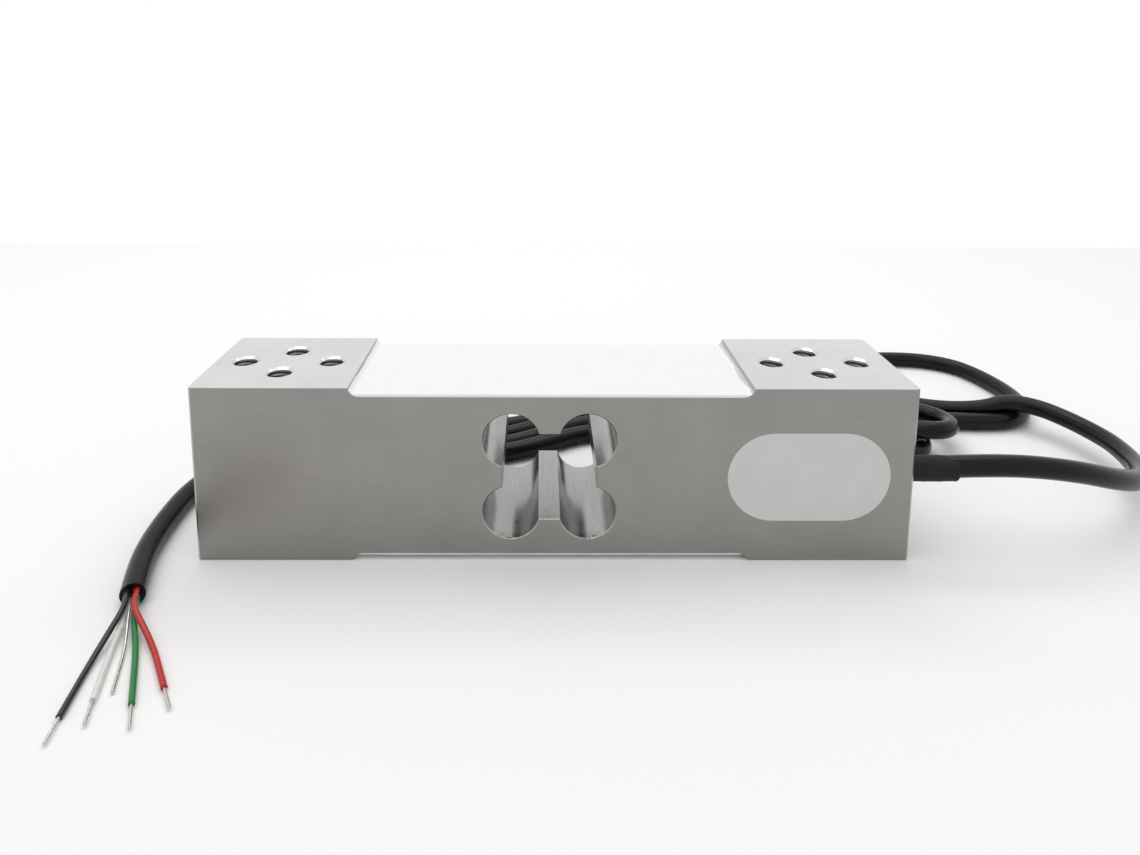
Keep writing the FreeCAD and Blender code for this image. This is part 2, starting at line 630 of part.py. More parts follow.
def make_potting(contents):
    """Potting that fills the pocket flush with the front face, round what lies in it."""
    radius = "Sizes.PocketHeight / 2"
    reach = "(Sizes.PocketLength - Sizes.PocketHeight) / 2"
    front = "-Sizes.BeamWidth / 2"
    middle = add_box("potting_middle", "Sizes.PocketLength - Sizes.PocketHeight", "Sizes.PocketDepth",
                     "Sizes.PocketHeight", f"Sizes.PocketX - {reach}", front, f"Sizes.WindowZ - {radius}")
    ends = []
    for step in (-1, 1):
        end = doc.addObject("Part::Cylinder", "potting_end")
        end.Placement = FreeCAD.Placement(Vector(), Rotation(Vector(1, 0, 0), -90))
        bind(end, Radius=radius, Height="Sizes.PocketDepth", Base_x=f"Sizes.PocketX + {step} * {reach}",
             Base_y=front, Base_z="Sizes.WindowZ")
        ends.append(end)
    filling = join_shapes("potting_filling", [middle] + ends)
    filling.Refine = True
    potting = doc.addObject("Part::Cut", "potting_cut")
    potting.Base = filling
    potting.Tool = join_shapes("potting_moulded_over", contents)
    doc.recompute()
    return name_piece(potting, "pocket_potting")


def make_sleeve():
    """The sleeve over the cable at the exit: a short tube with a bevelled outer end."""
    body = add_body("exit_sleeve")
    sketch = add_sketch(body, "sleeve_ring", "YZ_Plane", "Sizes.SleeveStart")
    add_circles(sketch, [("Sizes.ExitY", "Sizes.WindowZ")], "Sizes.SleeveDiameter")
    cable = size("CableDiameter")
    middle = Vector(size("ExitY"), size("WindowZ"), 0)
    inner = sketch.addGeometry(Part.Circle(middle, Vector(0, 0, 1), cable / 2))
    sketch.addConstraint(Sketcher.Constraint("Coincident", inner, 3, 0, 3))
    index = sketch.addConstraint(Sketcher.Constraint("Diameter", inner, cable))
    sketch.setExpression(f"Constraints[{index}]", "Sizes.CableDiameter")
    add_pad(body, sketch, "Sizes.SleeveLength")
    outer_end = size("SleeveStart") + size("SleeveLength")
    add_edge_feature(body, "PartDesign::Chamfer", "sleeve_end",
                     lambda edge: abs(edge.BoundBox.XMin - outer_end) < 1e-6 and edge.BoundBox.XLength < 1e-6
                     and edge.Curve.Radius > cable / 2 + 0.01,
                     "Size", "Sizes.SleeveBevel")
    return body


# ---------------------------------------------------------------- the put-away cable

def make_bundle_core(name, extra):
    """The tied bundle's rounded section over the tie's width, plus extra at each side."""
    box = add_box(name, f"Sizes.TieWidth + 2 * {extra}", "Sizes.BundleWidth", "Sizes.BundleHeight",
                  f"Sizes.TieX - {extra}", "Sizes.TieFront", "Sizes.TieStrap")
    return round_along_x(box, size("BundleRound"))


def round_along_x(box, radius):
    """Round a box's four edges that run along X."""
    doc.recompute()
    x_direction = Vector(1, 0, 0)
    rounded = doc.addObject("Part::Fillet", box.Name + "_rounded")
    rounded.Base = box
    rounded.Edges = [(number, radius, radius) for number, edge in enumerate(box.Shape.Edges, 1)
                     if runs_along(edge, x_direction)]
    doc.recompute()
    return rounded


def make_hank():
    """The outer shape of the looped cable behind the beam, with a waist under the tie."""
    ring = doc.addObject("PartDesign::Body", "hank_ring")
    outline = add_sketch(ring, "hank_outline", "XY_Plane")
    add_slot(outline, "Sizes.HankLeft", "Sizes.HankFront", "Sizes.HankRight", "Sizes.HankBack")
    add_slot(outline, "Sizes.HankGapLeft", "Sizes.HankGapFront", "Sizes.HankGapRight", "Sizes.HankGapBack")
    add_pad(ring, outline, "Sizes.HankHeight")
    notch = add_box("tie_notch", "Sizes.TieWidth", "Sizes.HankGapFront - Sizes.HankFront + 2",
                    "Sizes.HankHeight + 2", "Sizes.TieX", "Sizes.HankFront - 1", "-1")
    notched = doc.addObject("Part::Cut", "hank_notched")
    notched.Base = ring
    notched.Tool = notch
    hank = join_shapes("hank_joined", [notched, make_bundle_core("tied_bundle", "0")])
    doc.recompute()
    return name_piece(hank, "cable_hank")


def make_tie():
    """A nylon tie round the bundle: a flat strap with its head on top."""
    band = add_box("tie_band", "Sizes.TieWidth", "Sizes.BundleWidth + 2 * Sizes.TieStrap",
                   "Sizes.BundleHeight + 2 * Sizes.TieStrap", "Sizes.TieX",
                   "Sizes.TieFront - Sizes.TieStrap", "0")
    rounded = round_along_x(band, size("BundleRound") + size("TieStrap"))
    head = add_box("tie_head", "Sizes.TieWidth", "Sizes.TieHeadLength", "Sizes.TieHeadHeight",
                   "Sizes.TieX", "Sizes.TieFront + Sizes.BundleWidth - Sizes.TieHeadSetback",
                   "Sizes.BundleHeight + Sizes.TieStrap + Sizes.TieHeadLift")
    solid = join_shapes("tie_solid", [rounded, head])
    tie = doc.addObject("Part::Cut", "tie_cut")
    tie.Base = solid
    tie.Tool = make_bundle_core("tie_opening", "1")
    doc.recompute()
    return name_piece(tie, "cable_tie")


def make_lead_and_tail(hank):
    """The two free stretches of cable, trimmed where they meet the hank."""
    diameter = size("CableDiameter")
    for label, route in (("cable_lead", LEAD_ROUTE), ("cable_tail", TAIL_ROUTE)):
        full = add_shape(label + "_full", tube(route, diameter))
        trimmed = doc.addObject("Part::Cut", label + "_trimmed")
        trimmed.Base = full
        trimmed.Tool = hank
        doc.recompute()
        name_piece(trimmed, label)
    return pieces[-2], pieces[-1]


def make_stripped_end():
    """The cores and drain wire that fan out on the floor from the jacket's end."""
    end = Vector(*TAIL_ROUTE[-1])
    ahead = (end - Vector(*TAIL_ROUTE[-2])).normalize()
    aside = ahead.cross(Vector(0, 0, 1))
    core = size("CoreDiameter")
    tip = size("TipDiameter")
    clearance = 0.05
    resting = core / 2 + clearance

    def at(forward, sideways, height):
        spot = end + ahead * forward + aside * sideways
        return (spot.x, spot.y, height)

    straight_part, first_bend = 5, 14
    tips = []
    # colour, side and height in the jacket, then how far aside and ahead the core ends
    fan = (("red", -0.8, 0.8, -7.0, 25.0), ("green", -0.8, -0.8, -2.4, 27.0),
           ("white", 0.8, -0.8, 2.0, 24.0), ("black", 0.8, 0.8, 6.4, 26.0))
    for colour, sideways, rise, spread, reach in fan:
        route = [
            at(0, sideways, end.z + rise),
            at(straight_part, sideways, end.z + rise),
            at(first_bend, sideways + 0.6 * spread, resting),
            at(reach, sideways + spread, resting),
        ]
        name_piece(add_shape("core_" + colour + "_tube", tube(route, core)), "core_" + colour)
        last = Vector(*route[-1])
        heading = (last - Vector(*route[-2])).normalize()
        tips.append(Part.makeCylinder(tip / 2, size("TipLength"), last, heading))
    name_piece(add_shape("core_tip_group", Part.Compound(tips)), "core_tips")
    low = tip / 2 + clearance
    drain = [at(0, 0, end.z), at(straight_part, 0, end.z), at(13, -0.3, low), at(23, 0.2, low)]
    name_piece(add_shape("drain_wire", tube(drain, tip)), "shield_drain")


# ---------------------------------------------------------------- build, check and write

def above_top_floor(_thickness):
    return "Sizes.BeamHeight - Sizes.TopRecessDepth"


def below_bottom_floor(thickness):
    return f"Sizes.BottomRecessDepth - {thickness}"


beam = make_spring_element()
top_items = make_gauges_and_terminals("top", above_top_floor)
bottom_items = make_gauges_and_terminals("bottom", below_bottom_floor)
top_leads = make_gauge_leads("top", above_top_floor, 1)
bottom_leads = make_gauge_leads("bottom", below_bottom_floor, -1)
make_coat("top_silicone", True, top_items + [top_leads])
make_coat("bottom_silicone", False, bottom_items + [bottom_leads])
hank_piece = make_hank()
make_tie()
lead, tail = make_lead_and_tail(hank_piece)
make_sleeve()
board_piece, resistor_pieces = make_board()
core_pieces = make_pocket_cores()
make_potting([board_piece, resistor_pieces, core_pieces, top_leads, bottom_leads, lead])
make_stripped_end()
doc.recompute()

for item in doc.Objects:
    if "Invalid" in item.State or "Error" in item.State:
        raise RuntimeError(f"{item.Label} failed: {item.State}")
for piece in pieces:
    shape = piece.Shape
    if shape.isNull() or not shape.isValid():
        raise RuntimeError(f"{piece.Label} has no valid shape")
    print(f"{piece.Label}: {len(shape.Solids)} solid, volume {shape.Volume:.1f}")

os.makedirs("parts", exist_ok=True)
for piece in pieces:
    piece.Shape.exportStep(f"parts/{piece.Label}.step")
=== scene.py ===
"""Single point load cell: the detailed visual model, fitted over the part's CAD frame."""

import json
import math

import bmesh
import bpy
from mathutils import Matrix, Vector


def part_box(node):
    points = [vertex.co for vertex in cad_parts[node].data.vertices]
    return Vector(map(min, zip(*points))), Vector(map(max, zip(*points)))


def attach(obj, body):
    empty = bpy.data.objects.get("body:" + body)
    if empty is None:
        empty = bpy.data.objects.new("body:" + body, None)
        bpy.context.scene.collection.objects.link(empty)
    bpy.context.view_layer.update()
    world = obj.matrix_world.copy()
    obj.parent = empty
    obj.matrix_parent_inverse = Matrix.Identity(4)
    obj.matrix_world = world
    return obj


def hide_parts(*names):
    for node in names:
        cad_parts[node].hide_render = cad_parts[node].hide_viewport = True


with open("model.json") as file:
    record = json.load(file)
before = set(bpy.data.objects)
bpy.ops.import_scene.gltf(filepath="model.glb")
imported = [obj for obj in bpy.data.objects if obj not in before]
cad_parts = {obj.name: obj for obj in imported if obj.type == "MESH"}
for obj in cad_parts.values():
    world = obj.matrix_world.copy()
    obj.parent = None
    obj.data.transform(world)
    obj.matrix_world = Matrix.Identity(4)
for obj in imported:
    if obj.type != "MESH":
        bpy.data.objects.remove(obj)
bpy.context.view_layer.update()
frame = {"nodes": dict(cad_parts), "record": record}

bl_info = {
    "name": "Single point load cell",
    "version": (1, 0, 0),
    "blender": (4, 5, 0),
    "location": "3D View > Sidebar > Load cell",
    "description": "Builds the visual pieces of a single point load cell over its CAD frame",
    "category": "Add Mesh",
}

MM = 0.001
MOUNTS = {mount["name"]: mount for mount in frame["record"]["mounts"]}

# The cable's route, in metres, in the order in which it is laid.
# From the sleeve over the far loop, as in the part's own lead.
LEAD_ROUTE = [
    (0.067, -0.011, 0.01865), (0.077, -0.011, 0.01865), (0.088, -0.011, 0.0192),
    (0.1, -0.0113, 0.0194), (0.1125, -0.0104, 0.0176), (0.1245, -0.0068, 0.0136),
    (0.1348, 0, 0.0098), (0.142, 0.01, 0.0078), (0.1454, 0.022, 0.0072), (0.1448, 0.0305, 0.0071),
    (0.1426, 0.0385, 0.0072),
]

# Over the loop's return, then the long loop along the floor at the back.
BACK_LOOP = [
    (0.1394, 0.0448, 0.0073), (0.1334, 0.0492, 0.0071), (0.127, 0.0502, 0.0044),
    (0.1175, 0.0542, 0.0024), (0.106, 0.0588, 0.0024), (0.095, 0.0634, 0.0024),
    (0.082, 0.0676, 0.0024), (0.064, 0.0704, 0.0024), (0.044, 0.0714, 0.0024),
    (0.022, 0.071, 0.0024), (0, 0.0702, 0.0024), (-0.022, 0.0698, 0.0024), (-0.038, 0.07, 0.0024),
    (-0.05, 0.071, 0.0024), (-0.0586, 0.0754, 0.0024), (-0.0614, 0.0828, 0.0024),
    (-0.0582, 0.0902, 0.0024), (-0.0495, 0.0946, 0.0024), (-0.036, 0.0952, 0.0024),
    (-0.014, 0.0944, 0.0024), (0.01, 0.0932, 0.0024), (0.034, 0.0918, 0.0024),
    (0.058, 0.0908, 0.0024), (0.08, 0.091, 0.0024), (0.098, 0.093, 0.0024),
    (0.111, 0.0948, 0.0024), (0.121, 0.0954, 0.0024), (0.131, 0.0936, 0.0024),
    (0.1386, 0.0884, 0.0024), (0.142, 0.08, 0.0024), (0.1436, 0.07, 0.0024),
    (0.1434, 0.06, 0.0024), (0.1396, 0.051, 0.0024), (0.1324, 0.0466, 0.0024),
    (0.125, 0.046, 0.0024), (0.1165, 0.0464, 0.0024),
]

# The first turn through the tie.
FIRST_TURN = [
    (0.108, 0.0474, 0.0024), (0.097, 0.0494, 0.0024), (0.086, 0.0506, 0.0024),
    (0.074, 0.0486, 0.0024), (0.062, 0.0442, 0.0029), (0.05, 0.0415, 0.0035),
    (0.041, 0.0444, 0.003), (0.032, 0.0534, 0.0026), (0.022, 0.0604, 0.0024),
    (0.01, 0.0626, 0.0024), (-0.004, 0.0626, 0.0024), (-0.018, 0.0622, 0.0024),
    (-0.032, 0.0619, 0.0024), (-0.0445, 0.0618, 0.0024), (-0.0524, 0.0598, 0.0024),
    (-0.0578, 0.0542, 0.0024), (-0.0598, 0.0464, 0.0024), (-0.0578, 0.0386, 0.0024),
    (-0.0524, 0.033, 0.0024), (-0.0445, 0.0318, 0.0024),
]

# The second turn, over the first beside the tie.
SECOND_TURN = [
    (-0.034, 0.0319, 0.0024), (-0.022, 0.0302, 0.0024), (-0.012, 0.0312, 0.0024),
    (-0.003, 0.0366, 0.0024), (0.006, 0.0424, 0.0024), (0.015, 0.045, 0.0028),
    (0.027, 0.0416, 0.0054), (0.039, 0.0352, 0.0074), (0.05, 0.0335, 0.00775),
    (0.061, 0.0332, 0.0068), (0.072, 0.033, 0.0048), (0.082, 0.0328, 0.0044),
    (0.091, 0.033, 0.0062), (0.098, 0.0304, 0.0075), (0.1044, 0.0292, 0.0076),
    (0.1096, 0.0342, 0.0068), (0.1096, 0.0416, 0.0058), (0.1044, 0.0464, 0.0058),
    (0.0966, 0.0458, 0.0067), (0.0886, 0.0412, 0.0063), (0.08, 0.038, 0.0046),
    (0.071, 0.0376, 0.0036), (0.061, 0.037, 0.0034),
]

# The third turn, inside the others at the left.
THIRD_TURN = [
    (0.05, 0.0362, 0.0035), (0.039, 0.0388, 0.0032), (0.028, 0.0446, 0.0024),
    (0.018, 0.0504, 0.0024), (0.008, 0.0494, 0.0024), (-0.002, 0.043, 0.0024),
    (-0.012, 0.0368, 0.0024), (-0.022, 0.0352, 0.0024), (-0.033, 0.0362, 0.0024),
    (-0.0445, 0.0361, 0.0024), (-0.0518, 0.0391, 0.0024), (-0.0548, 0.0464, 0.0024),
    (-0.0518, 0.0537, 0.0024), (-0.0445, 0.0567, 0.0024),
]

# The fourth turn, under the second at the right.
FOURTH_TURN = [
    (-0.0364, 0.0536, 0.0024), (-0.0264, 0.046, 0.0024), (-0.018, 0.0416, 0.0024),
    (-0.009, 0.0432, 0.0024), (0, 0.0494, 0.0024), (0.009, 0.0552, 0.0024),
    (0.019, 0.0558, 0.0024), (0.029, 0.0496, 0.0036), (0.038, 0.0418, 0.0064),
    (0.05, 0.0389, 0.00775), (0.061, 0.0406, 0.0066), (0.072, 0.0424, 0.0036),
    (0.081, 0.0448, 0.0024), (0.09, 0.0454, 0.0024), (0.0986, 0.0426, 0.0024),
    (0.102, 0.0354, 0.0024), (0.0986, 0.0282, 0.0024), (0.09, 0.0254, 0.0024),
]

# The last pass through the tie, at the front.
LAST_PASS = [
    (0.081, 0.0254, 0.0024), (0.071, 0.0264, 0.0024), (0.0605, 0.0292, 0.0029),
    (0.05, 0.0309, 0.0035), (0.039, 0.0328, 0.0032), (0.028, 0.0366, 0.0026),
    (0.018, 0.0396, 0.0024), (0.009, 0.0382, 0.0024), (0, 0.0332, 0.0024),
    (-0.009, 0.0281, 0.0024), (-0.018, 0.0256, 0.0024), (-0.026, 0.0254, 0.0024),
]

# The free tail, as in the part's own tail.
TAIL_ROUTE = [
    (-0.033, 0.0262, 0.0024), (-0.043, 0.027, 0.0024), (-0.054, 0.0282, 0.0024),
    (-0.065, 0.0284, 0.0024), (-0.0728, 0.0262, 0.0024), (-0.0797, 0.0216, 0.0024),
    (-0.0844, 0.0147, 0.0024), (-0.0866, 0.0066, 0.0024), (-0.0867, -0.0026, 0.0024),
    (-0.086, -0.012, 0.0024), (-0.0842, -0.021, 0.0024), (-0.0812, -0.0294, 0.0024),
]

# The stripped end, which goes with the cable.
CORE_NODES = ["core_red", "core_black", "core_green", "core_white", "core_tips", "shield_drain"]

# Every CAD piece and the finish that it gets.
NODE_SLOTS = {
    "spring_element": "machined_aluminium", "pocket_potting": "grey_potting",
    "gauge_top_left": "gauge_foil", "gauge_top_right": "gauge_foil",
    "gauge_bottom_left": "gauge_foil", "gauge_bottom_right": "gauge_foil",
    "top_terminals": "terminal_strip", "bottom_terminals": "terminal_strip",
    "top_gauge_leads": "lead_wire", "bottom_gauge_leads": "lead_wire", "pocket_cores": "lead_wire",
    "compensation_board": "circuit_board", "trim_resistors": "resistor_body",
    "core_red": "core_red", "core_black": "core_black", "core_green": "core_green",
    "core_white": "core_white", "core_tips": "tinned_copper", "shield_drain": "tinned_copper",
    "top_silicone": "white_silicone", "bottom_silicone": "white_silicone",
    "exit_sleeve": "shrink_sleeve", "cable_lead": "cable_jacket", "cable_hank": "cable_jacket",
    "cable_tail": "cable_jacket", "cable_tie": "tie_nylon",
}

# Colour, roughness range, grain per metre and bump in metres, then whatever a plain plastic lacks.
FINISHES = {
    "white_silicone": dict(colour=(0.9, 0.9, 0.905), roughness=(0.34, 0.5), scale=700,
                           bump=0.00002, shade=0.02),
    "grey_potting": dict(colour=(0.68, 0.668, 0.66), roughness=(0.38, 0.56), scale=420,
                         bump=0.00003, shade=0.05),
    "gauge_foil": dict(colour=(0.5, 0.27, 0.08), roughness=(0.25, 0.4), scale=900, bump=0.000004),
    "terminal_strip": dict(colour=(0.1, 0.25, 0.11), roughness=(0.35, 0.5), scale=900,
                           bump=0.000006),
    "circuit_board": dict(colour=(0.03, 0.16, 0.07), roughness=(0.3, 0.45), scale=900,
                          bump=0.000006),
    "resistor_body": dict(colour=(0.02, 0.02, 0.024), roughness=(0.2, 0.35), scale=1500,
                          bump=0.000004),
    "lead_wire": dict(colour=(0.3, 0.08, 0.02), roughness=(0.2, 0.35), scale=1500, bump=0.000004),
    "shrink_sleeve": dict(colour=(0.012, 0.0115, 0.012), roughness=(0.5, 0.66), scale=1600,
                          bump=0.00002, specular=0.2),
    "cable_jacket": dict(colour=(0.004, 0.004, 0.0045), roughness=(0.22, 0.32), scale=900,
                         bump=0.000003, specular=0.15, coat=0.1),
    "tie_nylon": dict(colour=(0.014, 0.014, 0.014), roughness=(0.28, 0.42), scale=1200,
                      bump=0.00001),
    "core_red": dict(colour=(0.5, 0.02, 0.015), roughness=(0.22, 0.34), scale=1500,
                     bump=0.000005),
    "core_black": dict(colour=(0.012, 0.012, 0.012), roughness=(0.22, 0.34), scale=1500,
                       bump=0.000005),
    "core_green": dict(colour=(0.01, 0.2, 0.04), roughness=(0.22, 0.34), scale=1500,
                       bump=0.000005),
    "core_white": dict(colour=(0.78, 0.78, 0.75), roughness=(0.22, 0.34), scale=1500,
                       bump=0.000005),
    "tinned_copper": dict(colour=(0.62, 0.6, 0.57), roughness=(0.2, 0.35), scale=2500,
                          bump=0.00001, metallic=1.0, stretch=(1.0, 1.0, 0.3)),
}

# Tones of the milled aluminium, which carry painted light: a painted highlight lifts the tone inside
# the cuts and more on top, and the darker side tones are painted shade.
METALLIC = 0.9
WALL_DARK, WALL_LIGHT = (0.36, 0.357, 0.347, 1.0), (0.43, 0.427, 0.416, 1.0)
SIDE_DARK, SIDE_LIGHT = (0.302, 0.293, 0.274, 1.0), (0.326, 0.316, 0.296, 1.0)
TOP_DARK, TOP_LIGHT = (0.67, 0.67, 0.68, 1.0), (0.71, 0.71, 0.72, 1.0)
# Dark speckled patches, near black, at the bottoms of the lower bores. They fade in between pairs of
# planes: towards the front face, down to the bores' lowest part, and clear of the underside.
LOWER_BORE_PATCH_TONE = (0.06, 0.06, 0.06, 1.0)
LOWER_BORE_PATCH_GRAIN = 2300.0
LOWER_BORE_PATCH_FADES = [("Y", -12.6 * MM, -14.4 * MM), ("Z", 5.9 * MM, 5.1 * MM),
                 ("Z", 2.0 * MM, 4.0 * MM)]

FLOOR_COLOUR = (0.98, 0.98, 0.98)
FLOOR_HALF_SIDE = 0.55
FLOOR_PLACE = (0.0, -0.27, -0.0001)

LAMP_POWER = 0.95
# Name, share of the lamp power, size, place and the point that it faces.
LAMPS = [
    ("Overhead", 5.9, (1.4, 1.0), (-0.12, 0.12, 0.95), (0.0, 0.02, 0.0)),
    ("Strip", 0.25, (0.6, 0.04), (0.1, 0.3, 0.5), (0.04, 0.03, 0.0)),
]

# The camera's place, its turns in radians, its lens in millimetres and its shift.
CAMERA_PLACE = (-0.00331, -0.16793, 0.10304)
YAW, PITCH, ROLL = 0.00813, 0.14959, 0.0054
LENS, SENSOR_WIDTH = 24.9, 36.0
CAMERA_SHIFT = (0.02065, -0.21244)

# The recesses' ends along X, the fillet at each end, and where the silicone stops.
RECESS_LEFT, RECESS_RIGHT, RECESS_FILLET = -42.5 * MM, 41.0 * MM, 2.5 * MM
LEFT_COVER, RIGHT_COVER = -42.3 * MM, 40.15 * MM
SHOULDER = 0.5 * MM
FILM = 0.1 * MM
# Steps in from a long edge of the silicone, and how far each has risen.
EDGE_STEPS = [(0.0, 0.0), (0.04 * MM, 0.08), (0.13 * MM, 0.26), (0.27 * MM, 0.54), (SHOULDER, 1.0)]

# The sleeve's rounded end, and how far it sits in from its full radius.
SLEEVE_LIP = 0.3 * MM
SLEEVE_WAIST = 0.06 * MM

# The tie's strap, its teeth and its locking head.
STRAP_THICK, STRAP_HEIGHT, STRAP_CORNER = 1.1 * MM, 11.2 * MM, 3.1 * MM
STRAP_EDGE, TOOTH_DEPTH, TOOTH_STEP = 0.25 * MM, 0.16 * MM, 0.45 * MM
HEAD_HEIGHT, HEAD_LENGTH, HEAD_FROM_BACK = 3.0 * MM, 5.2 * MM, 9.3 * MM

# The threads' radii, and how far below the pad they start.
THREAD_WALL, THREAD_CREST, THREAD_START = 2.49 * MM, 2.3 * MM, 0.55 * MM


class LoadCellSettings(bpy.types.PropertyGroup):
    """Sizes and finishes that the operators share."""

    cable_diameter: bpy.props.FloatProperty(
        name="Cable diameter", description="Outside diameter of the round cable",
        default=0.0047, min=0.003, max=0.007, unit="LENGTH")
    cable_length: bpy.props.FloatProperty(
        name="Cable length", description="Real length of the cable outside the sleeve",
        default=1.59, min=0.5, max=3.0, unit="LENGTH")
    thread_pitch: bpy.props.FloatProperty(
        name="Thread pitch", description="Pitch of the M6 mounting threads",
        default=0.001, min=0.0005, max=0.0015, unit="LENGTH")
    thread_turns: bpy.props.IntProperty(
        name="Thread turns", description="Turns modelled below each mouth",
        default=8, min=2, max=12)
    coat_thickness: bpy.props.FloatProperty(
        name="Coat thickness", description="Silicone over the gauges",
        default=0.00062, min=0.0003, max=0.001, unit="LENGTH")
    coat_waviness: bpy.props.FloatProperty(
        name="Coat waviness", description="How far the silicone's ends wander",
        default=0.00028, min=0.0, max=0.0006, unit="LENGTH")
    lamp_power: bpy.props.FloatProperty(
        name="Lamp power", description="Power that each lamp's own share multiplies",
        default=LAMP_POWER, min=0.0, unit="POWER")
    fill_strength: bpy.props.FloatProperty(
        name="Fill strength", description="Brightness of the surrounding studio for lighting",
        default=0.55, min=0.0, max=2.0)
    cable_jacket_colour: bpy.props.FloatVectorProperty(
        name="Cable colour", description="Colour of the cable's jacket", subtype="COLOR",
        default=FINISHES["cable_jacket"]["colour"], min=0.0, max=1.0)
    white_silicone_colour: bpy.props.FloatVectorProperty(
        name="Silicone colour", description="Colour of the coats over the gauges", subtype="COLOR",
        default=FINISHES["white_silicone"]["colour"], min=0.0, max=1.0)
    grey_potting_colour: bpy.props.FloatVectorProperty(
        name="Potting colour", description="Colour of the filled side pocket", subtype="COLOR",
        default=FINISHES["grey_potting"]["colour"], min=0.0, max=1.0)
    floor_colour: bpy.props.FloatVectorProperty(
        name="Floor colour", description="Colour of the floor under the part", subtype="COLOR",
        default=FLOOR_COLOUR, min=0.0, max=1.0)


def settings():
    """The values that the panel shows."""
    return bpy.context.scene.load_cell


# ---------------------------------------------------------------- materials


def new_group(name, inputs, outputs):
    """An empty node group with float or vector sockets, and its two end nodes."""
    group = bpy.data.node_groups.new(name, "ShaderNodeTree")
    for label, kind, value in inputs:
        socket = group.interface.new_socket(label, in_out="INPUT", socket_type=kind)
        socket.default_value = value
    for label in outputs:
        group.interface.new_socket(label, in_out="OUTPUT", socket_type="NodeSocketFloat")
    return group, group.nodes.new("NodeGroupInput"), group.nodes.new("NodeGroupOutput")


def grain_group():
    """Fine noise between two levels, in the object's own metres."""
    if "Grain" in bpy.data.node_groups:
        return bpy.data.node_groups["Grain"]
    group, inside, outside = new_group(
        "Grain",
        [("Stretch", "NodeSocketVector", (1.0, 1.0, 1.0)), ("Scale", "NodeSocketFloat", 1500.0),
         ("Low", "NodeSocketFloat", 0.0), ("High", "NodeSocketFloat", 1.0)], ["Value"])
    nodes, links = group.nodes, group.links
    coordinates = nodes.new("ShaderNodeTexCoord")
    stretch = nodes.new("ShaderNodeVectorMath")
    stretch.operation = "MULTIPLY"
    links.new(coordinates.outputs["Object"], stretch.inputs[0])
    links.new(inside.outputs["Stretch"], stretch.inputs[1])
    noise = nodes.new("ShaderNodeTexNoise")
    noise.inputs["Detail"].default_value = 4.0
    noise.inputs["Roughness"].default_value = 0.6
    links.new(stretch.outputs[0], noise.inputs["Vector"])
    links.new(inside.outputs["Scale"], noise.inputs["Scale"])
    spread = nodes.new("ShaderNodeMapRange")
    spread.inputs["From Min"].default_value = 0.3
    spread.inputs["From Max"].default_value = 0.7
    links.new(noise.outputs["Fac"], spread.inputs["Value"])
    links.new(inside.outputs["Low"], spread.inputs["To Min"])
    links.new(inside.outputs["High"], spread.inputs["To Max"])
    links.new(spread.outputs["Result"], outside.inputs["Value"])
    return group


def add_grain(material, scale, low=0.0, high=1.0, stretch=(1.0, 1.0, 1.0)):
    """A grain node in a material; gives its value socket."""
    node = material.node_tree.nodes.new("ShaderNodeGroup")
    node.node_tree = grain_group()
    node.inputs["Stretch"].default_value = stretch
    node.inputs["Scale"].default_value = scale
    node.inputs["Low"].default_value = low
    node.inputs["High"].default_value = high
    return node.outputs["Value"]


def add_bump(material, height, distance, strength=1.0):
    """A bump from a height socket into the material's normal."""
    nodes, links = material.node_tree.nodes, material.node_tree.links
    bump = nodes.new("ShaderNodeBump")
    bump.inputs["Distance"].default_value = distance
    bump.inputs["Strength"].default_value = strength
    links.new(height, bump.inputs["Height"])
    links.new(bump.outputs["Normal"], shader_of(material).inputs["Normal"])


def shader_of(material):
    """The material's own Principled shader."""
    return next(node for node in material.node_tree.nodes if node.type == "BSDF_PRINCIPLED")


def new_material(name, colour, roughness, metallic=0.0, coat=0.0, specular=0.5):
    """A plain material with one colour and one gloss."""
    material = bpy.data.materials.new(name)
    material.use_nodes = True
    shader = shader_of(material)
    shader.inputs["Base Color"].default_value = (*colour, 1.0)
    shader.inputs["Roughness"].default_value = roughness
    shader.inputs["Metallic"].default_value = metallic
    shader.inputs["Coat Weight"].default_value = coat
    shader.inputs["Coat Roughness"].default_value = 0.12
    shader.inputs["Specular IOR Level"].default_value = specular
    return material


def grained_material(name, colour, roughness, scale, bump, shade=0.12, metallic=0.0, coat=0.0,
                     specular=0.5, stretch=(1.0, 1.0, 1.0)):
    """A material whose tone and gloss vary with grain, over a fine bump."""
    material = new_material(name, colour, roughness[0], metallic, coat, specular)
    nodes, links = material.node_tree.nodes, material.node_tree.links
    shader = shader_of(material)
    gloss = add_grain(material, scale, roughness[0], roughness[1], stretch)
    links.new(gloss, shader.inputs["Roughness"])
    tone = nodes.new("ShaderNodeMix")
    tone.data_type = "RGBA"
    darker = [part * (1.0 - shade) for part in colour]
    lighter = [min(1.0, part * (1.0 + shade * 0.5)) for part in colour]
    tone.inputs["A"].default_value = (*darker, 1.0)
    tone.inputs["B"].default_value = (*lighter, 1.0)
    links.new(add_grain(material, scale * 0.35, 0.0, 1.0, stretch), tone.inputs["Factor"])
    links.new(tone.outputs["Result"], shader.inputs["Base Color"])
    add_bump(material, add_grain(material, scale * 1.7, 0.0, 1.0, stretch), bump)
    return material


